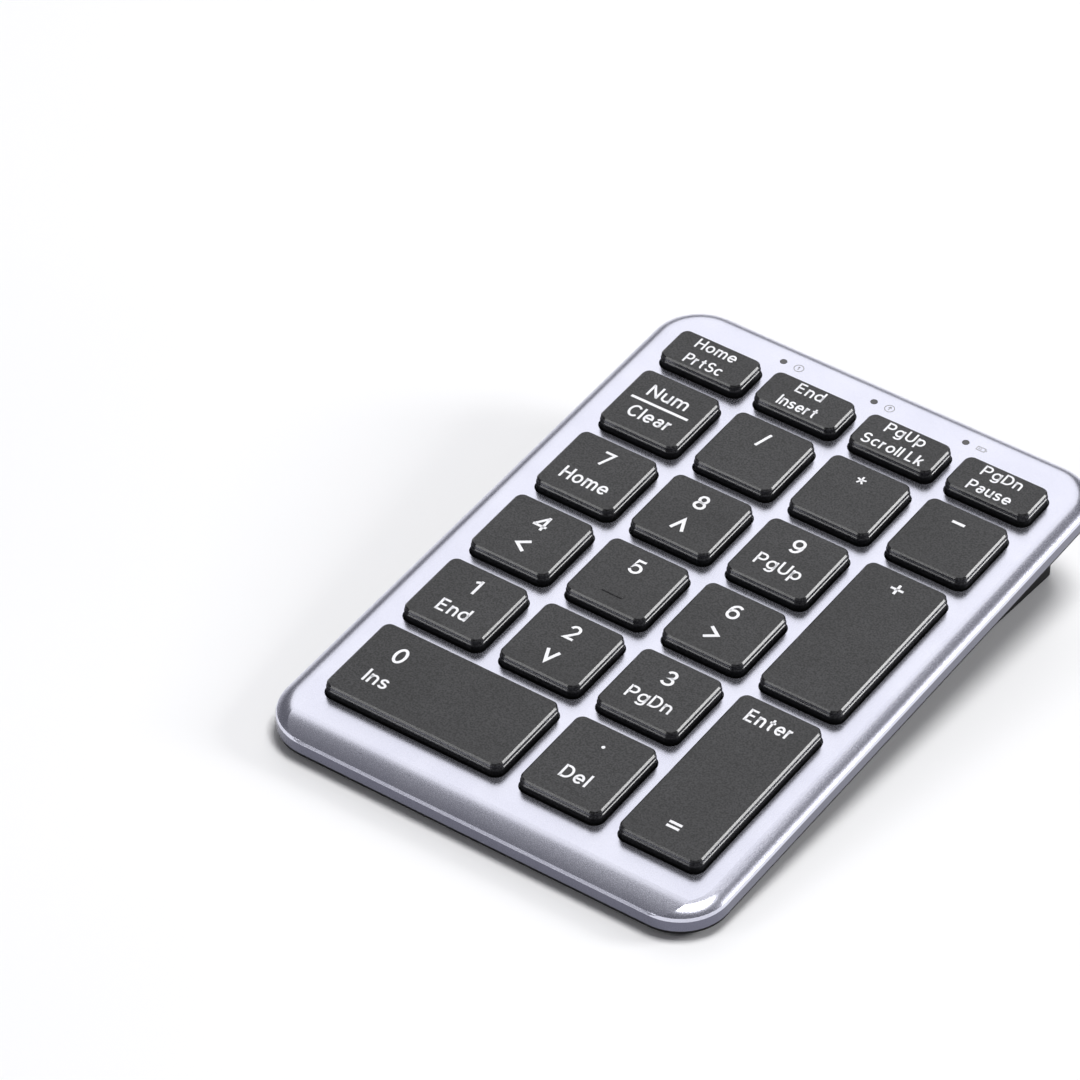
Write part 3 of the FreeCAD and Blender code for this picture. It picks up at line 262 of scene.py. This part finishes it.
def make_materials():
    return {
        "silver": paint_wall_shade(finish(
            "silver_anodised", (0.70, 0.705, 0.81), (0.74, 0.745, 0.845), (0.22, 0.30), 0.14, 0.012, 0.2,
            metallic=1.0,
        )),
        "keycap": polish_edges(finish(
            "keycap_plastic", grey(0.018), grey(0.025), (0.32, 0.44), 0.26, 0.02, 0.3, blotch=60,
        )),
        "ink": finish("legend_ink", grey(0.86), grey(0.93), (0.45, 0.6), 0.1, 0.005, 0.2),
        "mark": finish("icon_ink", grey(0.30), grey(0.36), (0.45, 0.6), 0.1, 0.005, 0.2),
        "black_plastic": finish(
            "cover_plastic", grey(0.006), grey(0.010), (0.60, 0.75), 0.35, 0.05, 0.5, specular=0.15,
        ),
        "link": finish("link_plastic", grey(0.62), grey(0.70), (0.35, 0.48), 0.5, 0.01, 0.2, blotch=200),
        "wire": finish(
            "spring_wire", grey(0.45), grey(0.58), (0.2, 0.34), 0.12, 0.006, 0.3,
            metallic=1.0, stretch=(0.3, 0.3, 1),
        ),
        "steel": finish(
            "plate_steel", grey(0.42), grey(0.52), (0.24, 0.42), 0.3, 0.008, 0.3,
            metallic=1.0, stretch=(0.08, 1, 1),
        ),
        "film": finish(
            "membrane_film", (0.70, 0.74, 0.68), (0.78, 0.81, 0.74), (0.12, 0.2), 0.9, 0.004, 0.2,
            coat=0.3, alpha=0.75,
        ),
        "dome_rubber": finish(
            "dome_silicone", (0.66, 0.67, 0.64), (0.78, 0.78, 0.75), (0.4, 0.55), 0.3, 0.01, 0.3,
        ),
        "board": finish(
            "solder_mask", (0.012, 0.10, 0.035), (0.02, 0.16, 0.055), (0.2, 0.34), 0.8, 0.02, 0.3, coat=0.5,
        ),
        "lamp": finish("lamp_window", grey(0.03), grey(0.05), (0.08, 0.16), 0.4, 0.002, 0.2, coat=0.6),
        "cell": finish("cell_wrap", grey(0.04), grey(0.07), (0.2, 0.32), 0.7, 0.006, 0.2, coat=0.4),
        "contact": finish(
            "nickel_plate", (0.62, 0.60, 0.55), (0.72, 0.70, 0.65), (0.15, 0.3), 0.2, 0.006, 0.3,
            metallic=1.0,
        ),
        "foot_rubber": finish("foot_rubber", grey(0.02), grey(0.03), (0.7, 0.85), 0.25, 0.03, 0.6),
        "screw": finish("black_zinc", grey(0.06), grey(0.10), (0.25, 0.4), 0.15, 0.01, 0.4, metallic=1.0),
    }


MATERIALS = make_materials()
SLOT_OF = {part["node"]: part["material_slot"] for part in frame["record"]["subparts"]}


def dress_nodes():
    """Each CAD node gets its slot's worked material."""
    for name, piece in frame["nodes"].items():
        material = MATERIALS[SLOT_OF[name]]
        if not piece.material_slots:
            piece.data.materials.append(material)
        for slot in piece.material_slots:
            slot.material = material


# Lettering: uniform strokes in units of the capitals' height. A stroke is a run of points (x, y) and
# arcs (centre x, centre y, radius x, radius y, first angle, last angle).

STROKE = 0.145
HALF = STROKE / 2
TOP = 1 - HALF
STEM = [(0, 0), (0, 1)]
BOWL = [(0.27, 0.37, 0.27, 0.30, 0, 360)]
GLYPHS = {
    "H": [STEM, [(0.60, 0), (0.60, 1)], [(0, 0.52), (0.60, 0.52)]],
    "E": [STEM, [(0, TOP), (0.53, TOP)], [(0, 0.52), (0.49, 0.52)], [(0, HALF), (0.55, HALF)]],
    "L": [STEM, [(0, HALF), (0.47, HALF)]],
    "I": [STEM],
    "P": [STEM, [(0, TOP), (0.32, (TOP + 0.45) / 2, 0.24, (TOP - 0.45) / 2, 90, -90), (0, 0.45)]],
    "D": [STEM, [(0, TOP), (0.24, 0.5, 0.37, TOP - 0.5, 90, -90), (0, HALF)]],
    "U": [[(0, 1), (0.30, 0.36, 0.30, 0.29, 180, 360), (0.60, 1)]],
    "N": [STEM, [(0.60, 0), (0.60, 1)], [(0.01, 0.96), (0.59, 0.04)]],
    "C": [[(0.36, 0.5, 0.36, 0.44, 42, 318)]],
    "S": [[(0.29, 0.715, 0.25, 0.22, 22, 265), (0.30, 0.285, 0.29, 0.22, 85, -158)]],
    "a": [
        [(0.24, 0.47, 0.21, 0.20, 158, 0), (0.45, 0.17, 0.07, 0.10, 180, 250)],
        [(0.45, 0.40), (0.20, 0.24, 0.19, 0.17, 100, 270), (0.27, 0.26, 0.18, 0.19, 270, 355)],
    ],
    "c": [[(0.26, 0.37, 0.26, 0.30, 45, 315)]],
    "d": [BOWL, [(0.53, 0), (0.53, 1)]],
    "e": [[(0.03, 0.37), (0.27, 0.37, 0.26, 0.30, 0, 318)]],
    "g": [BOWL, [(0.53, 0.74), (0.27, -0.02, 0.26, 0.19, 0, -150)]],
    "k": [STEM, [(0.43, 0.73), (0.03, 0.28)], [(0.17, 0.44), (0.46, 0)]],
    "l": [STEM],
    "m": [
        [(0, 0), (0, 0.74)],
        [(0.20, 0.45, 0.20, 0.22, 180, 0), (0.40, 0)],
        [(0.60, 0.45, 0.20, 0.22, 180, 0), (0.80, 0)],
    ],
    "n": [[(0, 0), (0, 0.74)], [(0.23, 0.44, 0.23, 0.23, 180, 0), (0.46, 0)]],
    "o": [BOWL],
    "p": [BOWL, [(0, -0.28), (0, 0.74)]],
    "r": [[(0, 0), (0, 0.74)], [(0.24, 0.42, 0.23, 0.24, 180, 85)]],
    "s": [[(0.21, 0.53, 0.19, 0.145, 15, 265), (0.22, 0.22, 0.21, 0.155, 85, -160)]],
    "t": [[(0.13, 0.94), (0.25, 0.19, 0.12, 0.125, 180, 275)], [(-0.08, 0.67), (0.34, 0.67)]],
    "u": [[(0, 0.74), (0.23, 0.30, 0.23, 0.23, 180, 360), (0.46, 0.36)], [(0.46, 0), (0.46, 0.74)]],
    "0": [[(0.25, 0.5, 0.25, 0.44, 0, 360)]],
    "1": [[(0.20, 0), (0.20, 1)], [(0.19, 0.90), (0, 0.77)]],
    "2": [[(0.25, 0.69, 0.24, 0.245, 168, -32), (0.02, HALF), (0.51, HALF)]],
    "3": [[(0.23, 0.72, 0.21, 0.215, 160, -80), (0.24, 0.29, 0.25, 0.225, 80, -160)]],
    "4": [[(0.39, 0), (0.39, 1)], [(0.38, 0.93), (0.03, 0.30)], [(-0.03, 0.28), (0.54, 0.28)]],
    "5": [[(0.47, TOP), (0.11, TOP), (0.06, 0.49), (0.25, 0.34, 0.25, 0.27, 135, -158)]],
    "6": [[(0.25, 0.34, 0.25, 0.27, 0, 360)], [(0.29, 0.5, 0.29, 0.43, 185, 52)]],
    "7": [[(0, TOP), (0.50, TOP), (0.16, 0)]],
    "8": [[(0.25, 0.72, 0.205, 0.215, 0, 360)], [(0.25, 0.29, 0.25, 0.22, 0, 360)]],
    "9": [[(0.25, 0.66, 0.25, 0.27, 0, 360)], [(0.21, 0.5, 0.29, 0.43, 5, -128)]],
    "/": [[(0, 0), (0.30, 1)]],
    "<": [[(0.80, 1), (0, 0.5), (0.80, 0)]],
    ">": [[(0, 1), (0.80, 0.5), (0, 0)]],
    "^": [[(0, 0), (0.5, 1), (1, 0)]],
    "v": [[(0, 1), (0.5, 0), (1, 1)]],
    "-": [[(0, 0), (0.6, 0)]],
    "=": [[(0, 0), (0.6, 0)], [(0, 0.26), (0.6, 0.26)]],
    "+": [[(0, 0), (0.6, 0)], [(0.3, -0.3), (0.3, 0.3)]],
    "*": [
        [(0, 0), (0.3 * math.sin(math.radians(72 * arm)), 0.3 * math.cos(math.radians(72 * arm)))]
        for arm in range(5)
    ],
}
# Signs drawn heavier or finer than the letters.
WEIGHTS = {"<": 1.5, ">": 1.5, "^": 1.5, "v": 1.5, "+": 0.85, "*": 0.75}
BEARING = 0.08 + HALF
SPACE = 0.30
ARC_STEP = 15


def stroke_points(stroke):
    """The stroke's points, with its arcs stepped out."""
    points = []
    for item in stroke:
        if len(item) == 2:
            points.append(Vector(item))
            continue
        x, y, radius_x, radius_y, first, last = item
        steps = max(2, round(abs(last - first) / ARC_STEP))
        for step in range(steps + 1):
            angle = math.radians(first + (last - first) * step / steps)
            points.append(Vector((x + radius_x * math.cos(angle), y + radius_y * math.sin(angle))))
    return points


def ribbon_sides(points, width):
    """Points along the two sides of a ribbon, mitred at its corners."""
    closed = (points[0] - points[-1]).length < 1e-6
    if closed:
        points = points[:-1]
    count = len(points)
    sides = []
    for index, point in enumerate(points):
        before = points[index - 1] if index or closed else None
        after = points[(index + 1) % count] if index < count - 1 or closed else None
        gaps = (point - before if before else None, after - point if after else None)
        ways = [gap.normalized() for gap in gaps if gap]
        along = sum(ways, Vector((0, 0))).normalized()
        across = Vector((-along.y, along.x))
        reach = width / 2 / max(0.35, along.dot(ways[0]))
        sides.append((point + across * reach, point - across * reach))
    return sides, closed


def add_ribbon(mesh, points, width, thick, turn):
    """A flat raised ribbon; turn puts its points (x, y, height) in place."""
    sides, closed = ribbon_sides(points, width)
    rings = []
    for left, right in sides:
        ring = [(left, thick), (right, thick), (right, -thick), (left, -thick)]
        rings.append([mesh.verts.new(turn(p.x, p.y, height)) for p, height in ring])
    count = len(rings)
    for index in range(count if closed else count - 1):
        one = rings[index]
        two = rings[(index + 1) % count]
        for corner in range(4):
            after = (corner + 1) % 4
            mesh.faces.new((one[corner], one[after], two[after], two[corner]))
    if not closed:
        mesh.faces.new(rings[0][::-1])
        mesh.faces.new(rings[-1])


def add_disc(mesh, radius, thick, turn):
    """A flat raised disc."""
    edge = stroke_points([(0, 0, radius, radius, 0, 360)])[:-1]
    top = [mesh.verts.new(turn(p.x, p.y, thick)) for p in edge]
    bottom = [mesh.verts.new(turn(p.x, p.y, -thick)) for p in edge]
    mesh.faces.new(top)
    mesh.faces.new(bottom[::-1])
    for index in range(len(edge)):
        mesh.faces.new((top[index - 1], bottom[index - 1], bottom[index], top[index]))


def lay_out(text, width):
    """Every stroke of a line of text, and the text's own left and right ends; width is the stroke's."""
    strokes = []
    pen = 0.0
    for letter in text:
        if letter == " ":
            pen += SPACE
            continue
        runs = [stroke_points(stroke) for stroke in GLYPHS[letter]]
        left = min(point.x for run in runs for point in run)
        right = max(point.x for run in runs for point in run)
        shift = Vector((pen + BEARING - left, 0))
        strokes += [[point + shift for point in run] for run in runs]
        pen += right - left + 2 * BEARING
    edges = [side.x for points in strokes for pair in ribbon_sides(points, width)[0] for side in pair]
    return strokes, min(edges), max(edges)


PRINT_THICK = 0.012
TEXT_SHIFT = -0.12


def on_deck(centre):
    """A function that puts (x, y, height) in millimetres about a point of the deck into the frame's axes."""
    return lambda x, y, lift: DECK.transposed() @ (centre + Vector((x, y, lift)) * MM)


def add_text(mesh, centre, text, width, height, base, shift=TEXT_SHIFT):
    """One printed line on a key; width, capital height, baseline and shift are in millimetres."""
    if text == ".":
        dot = centre + Vector((shift, base, 0)) * MM
        add_disc(mesh, width / 2, PRINT_THICK, on_deck(dot))
        return
    line = STROKE * WEIGHTS.get(text, 1)
    strokes, left, right = lay_out(text, line)
    stretch = width / (right - left)

    start = centre + Vector((shift - (left + right) / 2 * stretch, base, 0)) * MM
    for points in strokes:
        scaled = [Vector((p.x * stretch, p.y * height)) for p in points]
        add_ribbon(mesh, scaled, line * height, PRINT_THICK, on_deck(start))


def to_object(mesh, name, material, body):
    bmesh.ops.recalc_face_normals(mesh, faces=mesh.faces)
    data = bpy.data.meshes.new(name)
    mesh.to_mesh(data)
    mesh.free()
    data.materials.append(MATERIALS[material])
    piece = bpy.data.objects.new(name, data)
    bpy.context.scene.collection.objects.link(piece)
    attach(piece, body)
    return piece


# (text, width, capital height, baseline) in millimetres; a fifth number moves the line sideways.
LEGENDS = {
    "home": [("Home", 8.0, 2.5, 0.9), ("PrtSc", 7.3, 2.5, -3.3)],
    "end": [("End", 5.3, 2.5, 0.9), ("Insert", 7.4, 2.5, -3.3)],
    "page_up": [("PgUp", 7.7, 2.5, 0.9), ("Scroll Lk", 11.8, 2.5, -3.3)],
    "page_down": [("PgDn", 7.7, 2.5, 0.9), ("Pause", 8.3, 2.5, -3.3)],
    "num": [("Num", 7.8, 2.95, 1.6), ("-", 11.4, 3.9, 0.05), ("Clear", 8.2, 2.95, -4.4)],
    "divide": [("/", 1.5, 3.6, 1.3, -0.2)],
    "multiply": [("*", 1.75, 3.2, 3.9, -0.25)],
    "minus": [("-", 2.4, 4.1, 4.0, -0.3)],
    "seven": [("7", 2.3, 3.5, 1.45), ("Home", 9.1, 3.0, -4.65)],
    "eight": [("8", 2.3, 3.5, 1.45), ("^", 2.65, 2.7, -4.62)],
    "nine": [("9", 2.3, 3.5, 1.45), ("PgUp", 8.7, 2.85, -3.95)],
    "plus": [("+", 2.4, 4.0, 13.2, -0.15)],
    "four": [("4", 2.65, 3.5, 1.4), ("<", 2.6, 2.75, -4.4)],
    "five": [("5", 2.36, 3.5, 1.4, -0.18)],
    "six": [("6", 2.36, 3.5, 1.4), (">", 2.6, 2.75, -4.4, -0.15)],
    "one": [("1", 1.5, 3.5, 1.45, -0.3), ("End", 6.0, 2.96, -4.7)],
    "two": [("2", 2.36, 3.5, 1.45), ("v", 2.65, 2.7, -4.62, -0.18)],
    "three": [("3", 2.3, 3.5, 1.45), ("PgDn", 8.5, 2.8, -4.0)],
    "enter": [("Enter", 8.36, 2.95, 12.85, -0.18), ("=", 2.37, 3.7, -13.75, -0.11)],
    "zero": [("0", 2.3, 3.6, 1.4, -10.42), ("Ins", 4.46, 3.0, -4.75, -10.41)],
    "decimal": [(".", 0.66, 4.2, 4.42, -0.14), ("Del", 5.14, 2.95, -4.8, -0.14)],
}


def print_legends():
    for key in KEYS:
        mesh = bmesh.new()
        for line in LEGENDS[key]:
            add_text(mesh, key_top(key), *line)
        to_object(mesh, "legend_" + key, "ink", "key_" + key)


ICON_LINE = 0.16
ICON_RIGHT = 3.1
ICON_RING = [(0, 0, 0.85, 0.85, 0, 360)]
# Number lock, capitals arrow and battery, from left to right, in millimetres.
SIGNS = [
    [ICON_RING, [(0, -0.42), (0, 0.42)], [(0, 0.36), (-0.24, 0.18)]],
    [ICON_RING, [(0, -0.45), (0, 0.40)], [(-0.30, 0.10), (0, 0.46), (0.30, 0.10)]],
    [
        [(-0.85, -0.42), (0.70, -0.42), (0.70, 0.42), (-0.85, 0.42), (-0.85, -0.42)],
        [(0.95, -0.18), (0.95, 0.18)],
        [(-0.45, -0.2), (-0.45, 0.2)],
        [(-0.08, -0.2), (-0.08, 0.2)],
    ],
]
# Points of the light pipes this close to the highest are on a top, and this close together on the same one.
TOP_DEPTH = 0.01 * MM
LAMP_REACH = 3 * MM


def lamp_middles():
    """The middles of the light pipes' tops, in the deck's axes, from left to right."""
    groups = []
    high = deck_span(node_points("light_pipes"))[1]
    for point in node_points("light_pipes"):
        place = DECK @ point
        if high.z - place.z > TOP_DEPTH:
            continue
        near = [group for group in groups if (group[0] - place).length < LAMP_REACH]
        if near:
            near[0].append(place)
        else:
            groups.append([place])
    middles = [sum(group, Vector()) / len(group) for group in groups]
    return sorted(middles, key=lambda place: place.x)


def print_icons():
    """Small generic signs beside the lamps."""
    mesh = bmesh.new()
    deck_height = deck_span(node_points("top_case"))[1].z
    for middle, sign in zip(lamp_middles(), SIGNS):
        centre = Vector((middle.x + ICON_RIGHT * MM, middle.y, deck_height))
        for stroke in sign:
            add_ribbon(mesh, stroke_points(stroke), ICON_LINE, PRINT_THICK, on_deck(centre))
    to_object(mesh, "lamp_signs", "mark", "housing")


# Soft and folding pieces under the keys: the CAD solids' own shapes, copied and carried by the housing.


SHARP_ANGLE = 35
# A dome's shell is the one within this distance of its key's middle.
DOME_REACH = 3 * MM


def islands(mesh):
    """The separate shells of a mesh, each as its list of faces."""
    left = set(mesh.faces)
    groups = []
    while left:
        edge = [left.pop()]
        group = list(edge)
        while edge:
            face = edge.pop()
            for vertex in face.verts:
                for other in vertex.link_faces:
                    if other in left:
                        left.remove(other)
                        edge.append(other)
                        group.append(other)
        groups.append(group)
    return groups


def part_copy(node, keep_face, name):
    """A copy of the faces of a CAD node for which keep_face is true."""
    mesh = bmesh.new()
    mesh.from_mesh(frame["nodes"][node].data)
    bmesh.ops.remove_doubles(mesh, verts=mesh.verts, dist=1e-7)
    drop = []
    for group in islands(mesh):
        middle = sum((face.calc_center_median() for face in group), Vector()) / len(group)
        if not keep_face(DECK @ middle):
            drop += group
    bmesh.ops.delete(mesh, geom=drop, context="FACES")
    for face in mesh.faces:
        face.smooth = True
    data = bpy.data.meshes.new(name)
    mesh.to_mesh(data)
    mesh.free()
    data.set_sharp_from_angle(angle=math.radians(SHARP_ANGLE))
    data.materials.append(MATERIALS[SLOT_OF[node]])
    piece = bpy.data.objects.new(name, data)
    bpy.context.scene.collection.objects.link(piece)
    return piece


def flatten_with_key(piece, node):
    """The piece rides on the housing in place of the CAD node, which is hidden."""
    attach(piece, "housing")
    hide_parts(node)
    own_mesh(piece)


def make_key_insides():
    """Each key's own dome and scissor links, in place of the CAD nodes."""
    for key in KEYS:
        top = key_top(key)
        dome = part_copy("rubber_domes", lambda p: (p.xy - top.xy).length < DOME_REACH, "dome_" + key)
        flatten_with_key(dome, "rubber_domes")
        scissor = part_copy("scissor_" + key, lambda p: True, "scissor_links_" + key)
        flatten_with_key(scissor, "scissor_" + key)


# Floor, light and camera


FLOOR_SIZE = 6


def make_floor():
    """White paper, much wider than the view."""
    bpy.ops.mesh.primitive_plane_add(size=FLOOR_SIZE)
    floor = bpy.context.object
    floor.name = "floor"
    material = bpy.data.materials.new("floor_paper")
    material.use_nodes = True
    tree = material.node_tree
    shader = tree.nodes["Principled BSDF"]
    paper = ramp(tree, noise(tree, 3), (0.90, 0.90, 0.905), (0.93, 0.93, 0.935))
    tree.links.new(paper, shader.inputs["Base Color"])
    shader.inputs["Roughness"].default_value = 0.9
    floor.data.materials.append(material)


def make_world():
    """A studio that is light near the horizon and darker overhead."""
    world = bpy.data.worlds.new("studio")
    bpy.context.scene.world = world
    world.use_nodes = True
    tree = world.node_tree
    background = tree.nodes["Background"]
    place = tree.nodes.new("ShaderNodeTexCoord")
    split = tree.nodes.new("ShaderNodeSeparateXYZ")
    tree.links.new(place.outputs["Generated"], split.inputs["Vector"])
    colour = ramp(tree, split.outputs["Z"], (0.55, 0.55, 0.58), (0.13, 0.13, 0.145), 0.0, 0.30)
    tree.links.new(colour, background.inputs["Color"])
    background.inputs["Strength"].default_value = 1.0


def add_light(name, azimuth, elevation, distance, size, power, tall=None):
    """A soft box that faces the keypad; azimuth is from the front, turning to the right."""
    data = bpy.data.lights.new(name, "AREA")
    data.shape = "RECTANGLE"
    data.size = size
    data.size_y = tall or size
    data.energy = power
    light = bpy.data.objects.new(name, data)
    turn = math.radians(azimuth)
    rise = math.radians(elevation)
    away = Vector((math.sin(turn) * math.cos(rise), -math.cos(turn) * math.cos(rise), math.sin(rise)))
    light.location = away * distance
    light.rotation_euler = away.to_track_quat("Z", "Y").to_euler()
    bpy.context.scene.collection.objects.link(light)


def make_lights():
    """Each light's azimuth and elevation in degrees, distance and size in metres, and power in watts."""
    add_light("back_soft_box", 213, 43, 1.2, 0.85, 2.5)
    add_light("overhead", 113, 82.5, 1.6, 0.6, 18)
    add_light("side_strip", 130, 25, 1.5, 0.40, 9, 0.45)
    add_light("front_fill", -30, 32, 1.5, 0.35, 1.8)


CAMERA_AZIMUTH = 34.52
CAMERA_ELEVATION = 42.68
CAMERA_DISTANCE = 1.05853
CAMERA_LENS = 213.93
SENSOR = 36.0
# The point that the camera looks at, from the middle of the "5" key's top: left of it, on the deck.
CAMERA_AIM = Vector((-17.08, -0.50, 0)) * MM


def make_camera():
    data = bpy.data.cameras.new("camera")
    data.lens = CAMERA_LENS
    data.sensor_width = SENSOR
    data.clip_end = 20
    camera = bpy.data.objects.new("camera", data)
    turn = math.radians(CAMERA_AZIMUTH)
    rise = math.radians(CAMERA_ELEVATION)
    away = Vector((math.sin(turn) * math.cos(rise), -math.cos(turn) * math.cos(rise), math.sin(rise)))
    side = Vector((math.cos(turn), math.sin(turn), 0))
    frame_turn = DECK.transposed() @ Matrix((side, away.cross(side), away)).transposed()
    place = DECK.transposed() @ (key_top("five") + CAMERA_AIM + away * CAMERA_DISTANCE)
    camera.matrix_world = Matrix.Translation(place) @ frame_turn.to_4x4()
    bpy.context.scene.collection.objects.link(camera)
    bpy.context.scene.camera = camera


make_camera()
make_world()
make_lights()
make_floor()
dress_nodes()
print_legends()
print_icons()
make_key_insides()
bpy.context.scene.view_settings.view_transform = "Standard"
